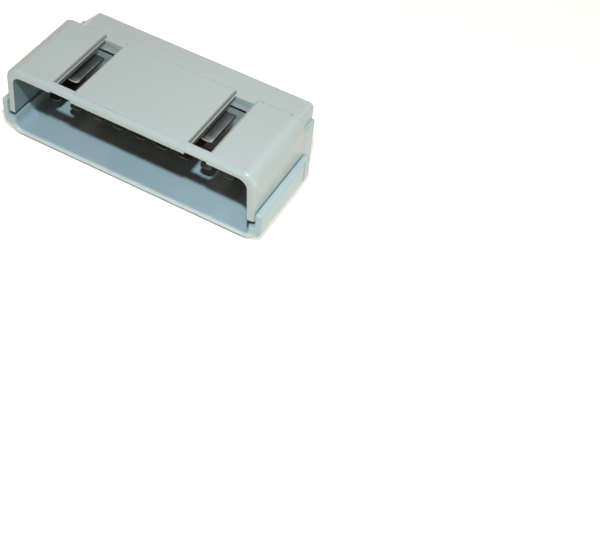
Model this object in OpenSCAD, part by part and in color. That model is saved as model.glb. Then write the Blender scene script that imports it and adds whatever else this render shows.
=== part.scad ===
// Header splice connector: a two-part moulded shell around two rows of flat blades,
// which splice bars join in fives behind the block that carries them.
// Millimetres. +X runs along the rows, the mouth faces -Y, +Z is up, the origin is under the middle.

/* [Overall] */
// Depth from the mouth to the back face
depth = 24.85; // [22:0.05:32]
// Height from the tray's underside to the raised pads
height = 16.8; // [14:0.1:22]

/* [Contacts] */
// Spacing of neighbouring blades in a row
pitch = 5.08; // [4.2:0.02:6.4]
// Blade width
blade_w = 2.8; // [2:0.1:3.4]
// Blade thickness
blade_t = 0.8; // [0.5:0.05:1]
// Blade length that stands free in front of the block
blade_free = 8.75; // [5:0.05:10]
// Width left at a blade's tip
tip_w = 1.8; // [1:0.1:2.2]
// Length over which a blade narrows to its tip
tip_taper = 0.9; // [0.5:0.1:2]
// Width added on each side of a blade by its stop shoulder
blade_stop = 0.35; // [0.2:0.05:0.6]
// Length of a blade's stop shoulder
stop_len = 0.8; // [0.5:0.1:1.2]
// Share of the cavity's height at which the lower row stands
row_low_share = 0.28; // [0.2:0.01:0.4]
// Share of the cavity's height at which the upper row stands
row_high_share = 0.81; // [0.6:0.005:0.85]
// Room past the last blade to the cover's inner wall
end_room = 2.17; // [1.8:0.01:4]
// Thickness of a splice bar
bar_t = 0.8; // [0.5:0.1:1.2]
// Height of a splice bar, where the cover leaves room for it
bar_h = 3.4; // [2.4:0.1:4]
// Length of a splice bar past its last blade
bar_end = 0.57; // [0.3:0.01:0.8]
// Length of a blade's tail behind its splice bar
tail = 0.4; // [0.2:0.05:0.8]

/* [Cover] */
// Thickness of the cover's side walls
wall = 1.77; // [1.2:0.01:2.4]
// Thickness of the cover's top under the pads
top_t = 1.65; // [1.3:0.05:2.5]
// Inward lean of the side walls per millimetre of height
draft = 0.05; // [0:0.005:0.08]
// Outer radius of the shoulders
shoulder_r = 3; // [2:0.1:4]
// Inner radius of the shoulders
shoulder_in_r = 2.1; // [1:0.1:3]
// Height of the side walls' lower edge
cover_edge = 5.6; // [4.8:0.1:7]
// Radius of the mouth's outer edge
mouth_r = 0.9; // [0.3:0.05:1.4]
// Height of a pad above the rear band
pad_step = 0.75; // [0.4:0.05:1.2]
// Radius of the pads' soft edges
pad_r = 0.5; // [0.1:0.05:0.6]
// Depth of the rear band
band_d = 5.75; // [5.2:0.05:8]
// Thickness of the step between the pads' rear edge and the hollow
step_t = 1.52; // [1.2:0.01:2.4]
// Height of the rear band's sides
band_h = 4; // [3:0.1:6]
// Thickness of the rear band's sides
band_t = 1.5; // [1:0.05:2]
// How far the rear band is set in from the cover's side walls
set_in = 1.43; // [1:0.01:2]
// Radius of the rear band's shoulders
band_r = 1.1; // [0.4:0.05:2]
// Bevel of the rear band's left shoulder, which marks that end
band_bevel = 3.8; // [2:0.1:4.4]
// Thickness of the cover under that bevel
bevel_t = 0.7; // [0.7:0.05:1.4]
// Radius of the shell's rear edges
rear_r = 0.4; // [0.2:0.05:1]
// Drop of the front lip between the windows
lip_drop = 0.12; // [0.05:0.01:0.5]
// Depth of the front lip between the windows
lip_d = 0.85; // [0.5:0.05:2]
// Height of the bead under the mouth's upper edge
bead_h = 0.15; // [0.1:0.05:0.6]

/* [Windows] */
// Distance from the middle to a window's middle
window_x = 14.95; // [12:0.05:18]
// Width of a window
window_w = 4.1; // [3:0.1:5]
// Ledge between a window and the pads beside it
window_ledge = 0.35; // [0.1:0.05:0.8]
// Distance from the mouth to a window
window_front = 1.9; // [1.2:0.1:4]
// Distance from a window's rear end to the pads' rear edge
window_rear = 1.05; // [0.6:0.05:3]
// Depth of the latch groove under the mouth's edge, above the cavity's top
latch_rise = 0.4; // [0.2:0.05:0.8]

/* [Tray] */
// Thickness of the floor
floor_t = 1.2; // [0.8:0.05:2]
// Height of the tray's sides, where the cover's groove begins
tray_side = 4.2; // [3.4:0.1:5]
// Thickness of the tray's sides
tray_t = 1.45; // [1:0.05:2]
// Outer radius of the tray's lower corners
tray_r = 2.7; // [1.5:0.1:3.2]
// Inner radius of the tray's lower corners
tray_in_r = 1.5; // [0.8:0.1:2.5]
// Thickness of a side rail
rail_t = 1.3; // [1:0.05:2]
// Height of a side rail's underside
rail_low = 1.35; // [1:0.05:2.4]
// Radius of a side rail's lower outer edge
rail_low_r = 1.8; // [0.8:0.1:2.4]
// Height of a side rail's top
rail_high = 8; // [7:0.1:9]
// Radius of a side rail's upper outer edge
rail_r = 0.6; // [0.2:0.05:0.7]
// Radius of the tray's edges at the mouth
tray_edge_r = 0.4; // [0.1:0.05:0.5]
// Length of the stop at a side rail's rear end
rail_stop = 2.2; // [1:0.1:4]
// Width of the line that sets the stop off from the rail
stop_line = 0.25; // [0.15:0.05:0.4]
// Depth of that line
stop_line_d = 0.2; // [0.1:0.05:0.4]
// How far the rear walls stand out from the cover's rear band
rear_step = 0.55; // [0.2:0.05:1]
// Thickness of the rear side walls
rear_t = 1.6; // [1.2:0.05:2.4]
// Thickness of the back wall
back_t = 1.45; // [1:0.05:2.5]

/* [Block] */
// Distance from the pads' rear edge to the block's rear face
block_behind = 2.3; // [1.8:0.05:3]
// Thickness of the block's front plate
plate_t = 1.1; // [0.8:0.05:1.6]
// Height of the seam across the block's front, under its top edge
seam_h = 0.5; // [0.2:0.05:0.8]
// Depth of that seam
seam_d = 0.75; // [0.2:0.05:0.8]
// Distance from the block's top to the seam
seam_drop = 0.2; // [0.1:0.05:0.6]
// Length of the tongues that locate the block
tongue = 1.2; // [0.6:0.05:1.4]
// Thickness of the tongues
tongue_w = 1.1; // [0.8:0.05:1.4]
// Distance from the pads' rear edge to the tongues
tongue_behind = 0.9; // [0.5:0.05:1.1]

/* [Fits] */
// Side clearance of the cover's walls in the rails
rail_fit = 0.05; // [0.02:0.01:0.2]
// Side clearance of the block in the shell
block_fit = 0.15; // [0.05:0.01:0.3]
// Side clearance of a tongue in its groove
tongue_fit = 0.1; // [0.05:0.01:0.2]
// Side clearance of a blade in the block and in its splice bar
blade_fit = 0.03; // [0.01:0.01:0.1]
// Side clearance of a snap catch in its pocket
snap_fit = 0.1; // [0.05:0.01:0.2]
// Clearance over the tongues' upper ends, under the cover
tongue_top_fit = 0.3; // [0.1:0.05:0.6]
// Clearance between the block's front plate and the shell's step behind it
plate_fit = 0.08; // [0.04:0.01:0.2]
// Clearance between a splice bar's end and the cover's inner shoulder
bar_fit = 0.15; // [0.1:0.05:0.4]

/* [Hidden] */
$fn = 64;

columns = 10;
group = columns / 2;
row_half = (columns - 1) / 2 * pitch + blade_w / 2;

// The shoulder's centre for a wall of half width w at height z that leans by d
function arc_z(top, r) = top - r;
function arc_x(w, z, top, r, d) = w - d * (arc_z(top, r) - z) - r * sqrt(1 + d * d);

// Half widths, built outward from the row of blades
cover_in = row_half + end_room;
cover_out = cover_in + wall;
rail_in = cover_out + rail_fit;
rail_out = rail_in + rail_t;
tray_in = rail_in - tray_t;
block_half = cover_in - set_in;
band_in = block_half + block_fit;
band_out = band_in + band_t;
rear_out = band_out + rear_step;
rear_in = rear_out - rear_t;

// Heights
ceiling = height - top_t;
band_top = height - pad_step;
parting = band_top - band_h;
row_low = floor_t + row_low_share * (ceiling - floor_t);
row_high = floor_t + row_high_share * (ceiling - floor_t);
lip_top = height - lip_drop;
mouth_mid = ceiling - bead_h;

// Depths, measured back from the mouth
pad_end = depth - band_d;
hollow_end = pad_end - step_t;
block_front = hollow_end - plate_fit - plate_t;
block_rear = pad_end + block_behind;
tip_y = block_front - blade_free;
tail_end = block_rear + bar_t + tail;
window_end = pad_end - window_rear;

// Half height of the splice bars, with their corners kept off the cover's inner shoulders
bar_reach = row_half + bar_end - arc_x(band_in, parting, ceiling, shoulder_in_r, 0);
bar_room_r = shoulder_in_r - bar_fit;
bar_room = arc_z(ceiling, shoulder_in_r)
    + sqrt(bar_room_r * bar_room_r - max(0, bar_reach) * max(0, bar_reach));
bar_half = min(bar_h / 2, bar_room - row_high);

// Half width plus height along the left bevel, which is one number for each plane at 45 degrees: outside,
// inside and on the block, kept off the stop of the outermost upper blade, and the clip that takes the
// splice bars' corners out of its way
diagonal = sqrt(2);
blade_corner = row_half + blade_stop + row_high + blade_t / 2 + 2 * blade_fit;
bevel_out = max(band_out + band_top - band_bevel, blade_corner + (0.1 + block_fit + bevel_t) * diagonal);
bevel_in = bevel_out - bevel_t * diagonal;
bevel_block = bevel_in - block_fit * diagonal;
bevel_room = 1;
bar_clip = max(0.4, row_half + bar_end + row_high + bar_half - bevel_in + bar_fit * diagonal);

channel_half = window_w / 2 + window_ledge;
lip_half = window_x - channel_half;
tongue_y = pad_end + tongue_behind;
tongue_z = floor_t + tray_in_r;
snap_len = 3;
snap_h = 1;
snap_out = 0.5;
snap_z = cover_edge + snap_out;
snap_rows = [0.26, 0.74];
over = 1;
sink = 0.3;
lap = 0.02;

plastic = [0.73, 0.78, 0.77];
plastic_dim = [0.66, 0.72, 0.75];
tin = [0.78, 0.77, 0.72];
brass = [0.80, 0.68, 0.38];

// Puts a shape measured from the mouth into the shared frame
module placed() {
    translate([0, -depth / 2, 0])
        children();
}

// A flat outline in X and Z, run from depth y0 to depth y1
module slab(y0, y1) {
    translate([0, y1, 0])
        rotate([90, 0, 0])
            linear_extrude(y1 - y0)
                children();
}

// Arch outline: leaning sides from (w, z), flat top, tangent shoulders of radius r
module arch(w, z, top, r, d) {
    a = atan(d);
    cx = arc_x(w, z, top, r, d);
    cz = arc_z(top, r);
    polygon([
        [-w, z],
        [w, z],
        [cx + r * cos(a), cz + r * sin(a)],
        [cx, top],
        [-cx, top],
        [-cx - r * cos(a), cz + r * sin(a)]
    ]);
    intersection() {
        union()
            for (s = [-1, 1])
                translate([s * cx, cz])
                    circle(r);
        translate([-w, z])
            square([2 * w, top - z]);
    }
}

// Tub outline: upright sides of half width w, lower corners of radius r
module tub(w, z, top, r) {
    translate([-w, z + r])
        square([2 * w, top - z - r]);
    translate([r - w, z])
        square([2 * (w - r), top - z]);
    intersection() {
        union()
            for (s = [-1, 1])
                translate([s * (w - r), z + r])
                    circle(r);
        translate([-w, z])
            square([2 * w, top - z]);
    }
}

// Everything past the left bevel's plane, where half width plus height is more than total
module left_bevel(total, y0, y1) {
    far = rail_out + over;
    high = height + over;
    slab(y0, y1)
        polygon([[-far, total - far], [high - total, high], [-far, high]]);
}

// Corner that a fillet of radius r takes off an edge at the origin, with X pointing out of the face by out
module edge_corner(r, out = over) {
    difference() {
        translate([-r, -over])
            square([r + out, r + over]);
        translate([-r, r])
            circle(r);
    }
}

// Fillet along a top edge at depth 0, from x0 to x1 at height z
module top_fillet(x0, x1, z, r) {
    translate([x1, 0, z])
        rotate([0, -90, 0])
            linear_extrude(x1 - x0)
                edge_corner(r);
}

// Fillet along an underside's edge at depth 0, from x0 to x1 at height 0
module underside_fillet(x0, x1, r) {
    translate([x0, 0, 0])
        rotate([0, 90, 0])
            linear_extrude(x1 - x0)
                edge_corner(r);
}

// Fillet around a round corner of radius bend at depth 0, its centre at (x, z), swept clockwise as seen
// from the mouth and starting from the +X side
module arc_fillet(x, z, bend, r, start, sweep) {
    translate([x, 0, z])
        rotate([-90, 0, 0])
            rotate([0, 0, start])
                rotate_extrude(angle = sweep)
                    translate([bend, 0])
                        edge_corner(r);
}

// The same around the inside of a hollow corner
module hollow_fillet(x, z, bend, r, start, sweep) {
    translate([x, 0, z])
        rotate([-90, 0, 0])
            rotate([0, 0, start])
                rotate_extrude(angle = sweep)
                    translate([bend, 0])
                        mirror([1, 0])
                            edge_corner(r, bend / 2);
}

// Fillet along an upright edge at depth 0 and half width w, from height z0 to height z1
module upright_fillet(w, z0, z1, r) {
    translate([w, 0, z0])
        linear_extrude(z1 - z0)
            edge_corner(r);
}

// Fillet around one shoulder of radius bend and down the wall below it, at depth 0, the wall's part
// lapping up into the shoulder's by a hair so that no fin is left between them
module side_fillet(w, z, top, d, bend, r) {
    a = atan(d);
    cx = arc_x(w, z, top, bend, d);
    cz = arc_z(top, bend);
    arc_fillet(cx, cz, bend, r, -90, 90 - a);
    translate([w, 0, z])
        rotate([0, -a, 0])
            translate([0, 0, -over])
                linear_extrude((cz - z) / cos(a) + bend * tan(a) + over + lap)
                    edge_corner(r);
}

// All outer edges of the cover's end at depth 0, with the lip between the windows at height z_mid
module rim_fillet(r, z_mid) {
    cx = arc_x(cover_out, cover_edge, height, shoulder_r, draft);
    top_fillet(-lip_half, lip_half, z_mid, r);
    for (s = [0, 1])
        mirror([s, 0, 0]) {
            top_fillet(lip_half, cx, height, r);
            side_fillet(cover_out, cover_edge, height, draft, shoulder_r, r);
        }
}

// The rear band's outer edges at depth 0: its top, its right shoulder and side, its left bevel and side
module band_fillet(r) {
    top_fillet(band_top - bevel_out - r, arc_x(band_out, parting, band_top, band_r, 0), band_top, r);
    side_fillet(band_out, parting, band_top, 0, band_r, r);
    translate([band_top - bevel_out, 0, band_top])
        rotate([0, -135, 0])
            translate([0, 0, -r])
                linear_extrude((band_top + band_out - bevel_out) * diagonal + 2 * r)
                    edge_corner(r);
    mirror([1, 0, 0])
        upright_fillet(band_out, parting - over, bevel_out - band_out + r, r);
}

// The tray's edges at depth 0: along its floor and up its sides, and along its underside to the rails
module tray_fillet(r) {
    turn = 34;
    top_fillet(tray_in_r - tray_in, tray_in - tray_in_r, floor_t, r);
    underside_fillet(tray_r - rail_in - lap, rail_in - tray_r + lap, r);
    for (s = [0, 1])
        mirror([s, 0, 0]) {
            hollow_fillet(tray_in - tray_in_r, floor_t + tray_in_r, tray_in_r, r, 0, 90);
            mirror([1, 0, 0])
                upright_fillet(-tray_in, floor_t + tray_in_r, tray_side + over, r);
            arc_fillet(rail_in - tray_r, tray_r, tray_r, r, turn, 90 - turn);
            arc_fillet(rail_out - rail_low_r, rail_low + rail_low_r, rail_low_r, r, 0, 84);
            upright_fillet(rail_out, rail_low + rail_low_r - lap, rail_high - rail_r + lap, r);
            arc_fillet(rail_out - rail_r, rail_high - rail_r, rail_r, r, -90, 90);
            top_fillet(rail_in - over, rail_out - rail_r + lap, rail_high, r);
        }
}

// Soft edge of a pad beside a window channel, on the side that s points to
module pad_side_fillet(s) {
    x = s * channel_half;
    slab(window_front - window_ledge, pad_end + over)
        difference() {
            translate([min(x - s * sink, x + s * pad_r), height - pad_r])
                square([pad_r + sink, pad_r + over]);
            translate([x + s * pad_r, height - pad_r])
                circle(pad_r);
        }
}

// Channel between two pads, with its window and the latch groove in front of it
module window_cut() {
    translate([-channel_half, window_front - window_ledge, band_top])
        cube([2 * channel_half, depth, height]);
    translate([-window_w / 2, window_front, ceiling - over])
        cube([window_w, window_end - window_front, height]);
    translate([-channel_half, -over, ceiling - over])
        cube([2 * channel_half, window_front + window_ledge + over, latch_rise + over]);
    for (s = [-1, 1])
        pad_side_fillet(s);
}

// Catches on one side of the cover, grown by g for the pockets that take them
module snap_row(g) {
    for (share = snap_rows)
        translate([cover_out - over, share * pad_end - snap_len / 2 - g, snap_z - g])
            cube([over + snap_out + g, snap_len + 2 * g, snap_h + 2 * g]);
}

module cover_body() {
    difference() {
        union() {
            slab(0, pad_end)
                arch(cover_out, cover_edge, height, shoulder_r, draft);
            difference() {
                slab(pad_end - over, depth)
                    arch(band_out, parting, band_top, band_r, 0);
                left_bevel(bevel_out, pad_end - 2 * over, depth + over);
            }
        }
        slab(-over, hollow_end)
            arch(cover_in + draft * over, cover_edge - over, ceiling, shoulder_in_r, draft);
        slab(-over, pad_end - bevel_room)
            arch(band_in, cover_edge - over, ceiling, shoulder_in_r, 0);
        difference() {
            slab(pad_end - bevel_room - over, depth - back_t)
                arch(band_in, cover_edge - over, ceiling, shoulder_in_r, 0);
            left_bevel(bevel_in, pad_end - bevel_room - 2 * over, depth);
        }
        translate([-lip_half, -over, lip_top])
            cube([2 * lip_half, lip_d + over, height]);
        for (s = [-1, 1])
            translate([s * window_x, 0, 0])
                window_cut();
        rim_fillet(mouth_r, lip_top);
        translate([0, pad_end, 0])
            mirror([0, 1, 0])
                rear_pad_fillet();
        translate([0, depth, 0])
            mirror([0, 1, 0])
                band_fillet(rear_r);
    }
}

// Soft rear edges of the three pads, above the rear band only
module rear_pad_fillet() {
    intersection() {
        rim_fillet(pad_r, height);
        translate([-rail_out, -over, band_top])
            cube([2 * rail_out, 2 * over, height]);
    }
}

module upper_cover() {
    color(plastic)
        placed() {
            cover_body();
            translate([-lip_half, 0, mouth_mid])
                cube([2 * lip_half, window_front + window_ledge, bead_h + sink]);
            for (s = [0, 1])
                mirror([s, 0, 0])
                    intersection() {
                        snap_row(0);
                        translate([cover_out - wall / 2, 0, 0])
                            cube([wall, depth, height]);
                    }
        }
}

// One side rail, with rounded outer edges
module rail() {
    bend_z = rail_low + rail_low_r;
    root = tray_in + tray_t / 2;
    slab(0, pad_end) {
        translate([rail_in, bend_z])
            square([rail_t - rail_r, rail_high - bend_z]);
        translate([rail_in, bend_z])
            square([rail_t, rail_high - rail_r - bend_z]);
        translate([rail_out - rail_r, rail_high - rail_r])
            circle(rail_r);
        translate([root, bend_z])
            square([tray_t / 2 + sink, tray_side - bend_z]);
        intersection() {
            translate([rail_out - rail_low_r, bend_z])
                circle(rail_low_r);
            translate([root, rail_low])
                square([rail_out - root, rail_low_r + sink]);
        }
    }
}

// Rest at the rear end of a groove, which the lower edge of the cover's side wall stands on
module edge_rest() {
    slab(pad_end - rail_stop, pad_end)
        translate([tray_in, tray_side - sink])
            square([rail_in + sink - tray_in, cover_edge - tray_side + sink]);
}

module lower_base() {
    color(plastic)
        placed()
            difference() {
                union() {
                    slab(0, pad_end)
                        tub(rail_in, 0, tray_side, tray_r);
                    for (s = [0, 1])
                        mirror([s, 0, 0]) {
                            rail();
                            edge_rest();
                        }
                    slab(pad_end - over, depth)
                        tub(rear_out, 0, tray_side, tray_r);
                    slab(pad_end + rail_fit, depth)
                        tub(rear_out, 0, parting, tray_r);
                }
                slab(-over, hollow_end)
                    tub(tray_in, floor_t, tray_side + over, tray_in_r);
                slab(-over, depth - back_t)
                    tub(rear_in, floor_t, height, tray_in_r);
                tray_fillet(tray_edge_r);
                for (s = [0, 1])
                    mirror([s, 0, 0]) {
                        snap_row(snap_fit);
                        translate([rear_in - over, tongue_y - tongue_fit, floor_t])
                            cube([
                                over + block_half + tongue + tongue_fit - rear_in,
                                tongue_w + 2 * tongue_fit,
                                height
                            ]);
                        translate([rail_out - stop_line_d, pad_end - rail_stop, 0])
                            cube([over, stop_line, height]);
                        translate([rear_out, depth, -over])
                            mirror([0, 1, 0])
                                linear_extrude(height)
                                    edge_corner(rear_r);
                    }
            }
}

// Passage for one blade through the block, with the recess for its stop
module blade_passage() {
    w = blade_w + 2 * blade_fit;
    t = blade_t + 2 * blade_fit;
    translate([-w / 2, block_front - over, -t / 2])
        cube([w, block_rear - block_front + 2 * over, t]);
    translate([-w / 2 - blade_stop, block_rear - stop_len, -t / 2])
        cube([w + 2 * blade_stop, stop_len + over, t]);
}

module contact_block() {
    color(plastic_dim)
        placed()
            difference() {
                union() {
                    difference() {
                        slab(block_front, block_rear)
                            intersection() {
                                arch(block_half, floor_t, ceiling, shoulder_in_r, 0);
                                tub(block_half, floor_t, height, tray_in_r);
                            }
                        left_bevel(bevel_block, hollow_end, depth);
                    }
                    slab(block_front, block_front + plate_t)
                        intersection() {
                            arch(cover_in - block_fit, cover_edge, ceiling, shoulder_in_r, draft);
                            tub(cover_in, floor_t, height, tray_in_r);
                        }
                    slab(block_front, block_front + plate_t)
                        tub(cover_in - block_fit, floor_t, cover_edge + over, tray_in_r);
                    for (s = [0, 1])
                        mirror([s, 0, 0])
                            translate([block_half - over, tongue_y, tongue_z])
                                cube([over + tongue, tongue_w, parting - tongue_top_fit - tongue_z]);
                }
                for (z = [row_low, row_high])
                    for (i = [0 : columns - 1])
                        translate([blade_x(i), 0, z])
                            blade_passage();
                translate([-window_x - window_w, block_front - over, ceiling - seam_drop - seam_h])
                    cube([2 * (window_x + window_w), over + seam_d, seam_h]);
            }
}

function blade_x(i) = (i - (columns - 1) / 2) * pitch;

// One blade, number i from the left, at height z
module blade(i, z) {
    w = blade_w / 2;
    v = w + blade_stop;
    n = blade_t / 2;
    stop_y = block_rear - stop_len;
    plan = [
        [-tip_w / 2, tip_y], [tip_w / 2, tip_y], [w, tip_y + tip_taper], [w, stop_y],
        [v, stop_y], [v, block_rear], [w, block_rear], [w, tail_end],
        [-w, tail_end], [-w, block_rear], [-v, block_rear], [-v, stop_y],
        [-w, stop_y], [-w, tip_y + tip_taper]
    ];
    side = [
        [tip_y, -n / 2], [tip_y + tip_taper, -n], [tail_end, -n],
        [tail_end, n], [tip_y + tip_taper, n], [tip_y, n / 2]
    ];
    color(tin)
        placed()
            translate([blade_x(i), 0, z])
                intersection() {
                    linear_extrude(blade_t + over, center = true)
                        polygon(plan);
                    rotate([90, 0, 90])
                        linear_extrude(2 * v + over, center = true)
                            polygon(side);
                }
}

// One splice bar over the five blades from number first, at height z
module splice_bar(first, z) {
    w = blade_w + 2 * blade_fit;
    t = blade_t + 2 * blade_fit;
    x0 = blade_x(first) - blade_w / 2 - bar_end;
    x1 = blade_x(first + group - 1) + blade_w / 2 + bar_end;
    h = bar_half;
    c = bar_clip;
    color(brass)
        placed()
            difference() {
                slab(block_rear, block_rear + bar_t)
                    translate([0, z])
                        polygon([
                            [x0, c - h], [x0 + c, -h], [x1 - c, -h], [x1, c - h],
                            [x1, h - c], [x1 - c, h], [x0 + c, h], [x0, h - c]
                        ]);
                for (i = [first : first + group - 1])
                    translate([blade_x(i) - w / 2, block_rear - over, z - t / 2])
                        cube([w, bar_t + 2 * over, t]);
            }
}

module blade_upper_1() { blade(0, row_high); }
module blade_upper_2() { blade(1, row_high); }
module blade_upper_3() { blade(2, row_high); }
module blade_upper_4() { blade(3, row_high); }
module blade_upper_5() { blade(4, row_high); }
module blade_upper_6() { blade(5, row_high); }
module blade_upper_7() { blade(6, row_high); }
module blade_upper_8() { blade(7, row_high); }
module blade_upper_9() { blade(8, row_high); }
module blade_upper_10() { blade(9, row_high); }
module blade_lower_1() { blade(0, row_low); }
module blade_lower_2() { blade(1, row_low); }
module blade_lower_3() { blade(2, row_low); }
module blade_lower_4() { blade(3, row_low); }
module blade_lower_5() { blade(4, row_low); }
module blade_lower_6() { blade(5, row_low); }
module blade_lower_7() { blade(6, row_low); }
module blade_lower_8() { blade(7, row_low); }
module blade_lower_9() { blade(8, row_low); }
module blade_lower_10() { blade(9, row_low); }
module splice_bar_upper_left() { splice_bar(0, row_high); }
module splice_bar_upper_right() { splice_bar(group, row_high); }
module splice_bar_lower_left() { splice_bar(0, row_low); }
module splice_bar_lower_right() { splice_bar(group, row_low); }

upper_cover();
lower_base();
contact_block();
blade_upper_1();
blade_upper_2();
blade_upper_3();
blade_upper_4();
blade_upper_5();
blade_upper_6();
blade_upper_7();
blade_upper_8();
blade_upper_9();
blade_upper_10();
blade_lower_1();
blade_lower_2();
blade_lower_3();
blade_lower_4();
blade_lower_5();
blade_lower_6();
blade_lower_7();
blade_lower_8();
blade_lower_9();
blade_lower_10();
splice_bar_upper_left();
splice_bar_upper_right();
splice_bar_lower_left();
splice_bar_lower_right();
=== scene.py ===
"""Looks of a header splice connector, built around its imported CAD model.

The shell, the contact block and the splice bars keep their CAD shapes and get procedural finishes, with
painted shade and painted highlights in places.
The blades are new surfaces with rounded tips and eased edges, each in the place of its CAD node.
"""

import bpy
import numpy as np
from mathutils import Matrix, Vector


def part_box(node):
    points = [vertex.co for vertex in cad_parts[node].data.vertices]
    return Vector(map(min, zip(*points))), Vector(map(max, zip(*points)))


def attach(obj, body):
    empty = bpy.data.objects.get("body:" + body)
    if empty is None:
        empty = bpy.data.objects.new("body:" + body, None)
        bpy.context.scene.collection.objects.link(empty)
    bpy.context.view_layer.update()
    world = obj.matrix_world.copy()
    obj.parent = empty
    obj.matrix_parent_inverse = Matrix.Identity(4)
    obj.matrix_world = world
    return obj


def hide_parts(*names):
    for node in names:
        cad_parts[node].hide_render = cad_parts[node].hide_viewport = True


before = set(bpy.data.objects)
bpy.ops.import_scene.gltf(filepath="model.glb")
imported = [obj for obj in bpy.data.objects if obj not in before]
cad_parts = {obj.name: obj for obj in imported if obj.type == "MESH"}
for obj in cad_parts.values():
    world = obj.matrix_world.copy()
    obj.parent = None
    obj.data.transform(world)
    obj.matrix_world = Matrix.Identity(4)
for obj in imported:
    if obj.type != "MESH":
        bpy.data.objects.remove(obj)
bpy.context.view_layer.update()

bl_info = {
    "name": "Header Splice Connector",
    "version": (1, 0, 0),
    "blender": (4, 5, 0),
    "location": "3D View > Sidebar > Connector",
    "description": "Finishes a two-part splice connector shell, its blades and its studio stage",
    "category": "Object",
}

MM = 0.001
BODY = "root"
WHITE = (1.0, 1.0, 1.0, 1.0)

# Blades: their number, the steps of their surfaces, and the layer that marks their tips
ROWS = ("upper", "lower")
BLADES_IN_ROW = 10
CORNER_STEPS = 7
TIP_STEPS = 22
BEVEL_STEPS = 6
EDGE_LIMIT = 0.8
SHARP_ANGLE = 40.0
TIP_LAYER = "tip"
HAIR = 0.01 * MM

# Painted shade low on the block and at the tray's foot: the heights where it begins and where it is full
BLOCK_SHADE_HEIGHTS = (11.5 * MM, 7.0 * MM)
FOOT_SHADE_HEIGHTS = (0.75 * MM, 0.40 * MM)

# Painted highlight on the tray's front rim: full at the first place or height, none at the second
RIM_DEPTH = (-12.30 * MM, -11.45 * MM)
RIM_HEIGHT = (1.7 * MM, 2.8 * MM)

# Height below which the cover's faces belong to its inside
INNER_BELOW = 15.2 * MM

# Slot across the contact block's front: below the block's top, and its own height
SLOT_DROP = 0.20 * MM
SLOT_HEIGHT = 0.50 * MM

# Latch channels in the cover's top: distance from the middle plane, half width, ledge, eased pad edge,
# floor and both ends
CHANNEL_CENTRE = 14.95 * MM
CHANNEL_HALF = 2.40 * MM
CHANNEL_LEDGE = 0.32 * MM
CHANNEL_EDGE = 0.45 * MM
CHANNEL_FLOOR = 16.03 * MM
CHANNEL_FRONT = -10.80 * MM
CHANNEL_BACK = 6.67 * MM

# Small marks on the top: x, y and radius of each
MARKS = ((18.55 * MM, 6.20 * MM, 0.15 * MM), (24.94 * MM, 6.27 * MM, 0.20 * MM))

# Moulded plastic: levels of its colour, shares of what lies on it and of its painted shade and
# highlight, and how its gloss varies
DRIFT_RANGE = (0.25, 0.75)
DRIFT_LEVELS = (0.982, 1.016)
MOTTLE_RANGE = (0.35, 0.75)
MOTTLE_LEVEL = 0.90
MOTTLE_SHARE = 0.30
SPECK_SHARE = 0.35
# Gain of the paler edges: partly edge wear, partly a painted highlight
RUB_AND_HIGHLIGHT_GAIN = 0.5
# Share of corner darkening: partly dirt, partly painted shade
DUST_AND_SHADE_SHARE = 0.30
GLOSS_DRIFT = 0.05
EDGE_POLISH = 0.08

# Drawn metal: waves to the metre of its lines and patches, levels of its colour, edges and relief
LINE_SCALES = (9000.0, 350.0, 9000.0)
LINE_LEVEL = 0.70
LINE_SHARE = 0.35
LINE_GLOSS = 0.20
LINE_DEPTH = 0.004 * MM
LINE_STRENGTH = 0.6
PATCH_SCALE = 480.0
PATCH_RANGE = (0.30, 0.72)
PATCH_LEVELS = (0.80, 1.10)
TIP_RANGE = (0.2, 0.6)
METAL_EDGE = 0.10 * MM
METAL_BREAKUP = 1500.0

# Stage
SENSOR_WIDTH = 36.0
CLIP_RANGE = (0.01, 20.0)
FLOOR_DROP = 0.05 * MM


def node_names(prefix):
    """The CAD nodes whose names begin with prefix, in order."""
    return sorted(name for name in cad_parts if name.startswith(prefix))


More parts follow.
